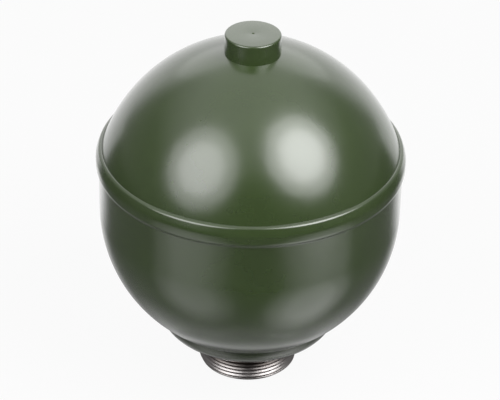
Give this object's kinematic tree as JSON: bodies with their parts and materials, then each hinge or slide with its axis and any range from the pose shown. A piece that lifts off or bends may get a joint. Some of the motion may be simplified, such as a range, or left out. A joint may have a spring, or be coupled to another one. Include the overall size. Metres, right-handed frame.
{
  "type": "diaphragm accumulator",
  "caption": "Spherical gas-charged hydraulic accumulator with a rolled belt joint, threaded neck, damper valve in the port and a rubber diaphragm inside.",
  "frame": {"origin": "centre of the neck's end face, on which the part stands", "axes": "+Z along the vessel's axis, from the threaded neck to the filler plug"},
  "size_m": [0.108, 0.108, 0.1332],
  "materials": {
    "green_paint": "satin olive green paint",
    "turned_steel": "bare turned steel",
    "blued_steel": "blued spring steel",
    "sintered_metal": "sintered, dull",
    "yellow_passivated_steel": "yellow passivated",
    "diaphragm_rubber": "moulded black rubber"
  },
  "bodies": {
    "vessel": {"fluid_shell": "green_paint", "gas_shell": "green_paint", "filler_plug": "green_paint", "neck_fitting": "turned_steel", "diaphragm": "diaphragm_rubber", "diaphragm_clamp_ring": "turned_steel", "damper_body": "sintered_metal", "damper_rivet": "turned_steel", "rivet_collar": "turned_steel", "port_leaf_spacer": "turned_steel", "chamber_leaf_spacer": "turned_steel", "port_valve_leaf_1": "blued_steel", "port_valve_leaf_2": "blued_steel", "port_valve_leaf_3": "blued_steel", "chamber_valve_leaf_1": "blued_steel", "chamber_valve_leaf_2": "blued_steel", "chamber_valve_leaf_3": "blued_steel", "damper_retaining_ring": "yellow_passivated_steel"},
    "button": {"diaphragm_button": "turned_steel"}
  },
  "joints": [
    {"name": "diaphragm_stroke", "type": "slide", "parent": "vessel", "child": "button", "axis": [0, 0, 1], "range_m": [0, 0.07], "stiffness_N_per_m": 20, "deforming": ["diaphragm"]}
  ]
}
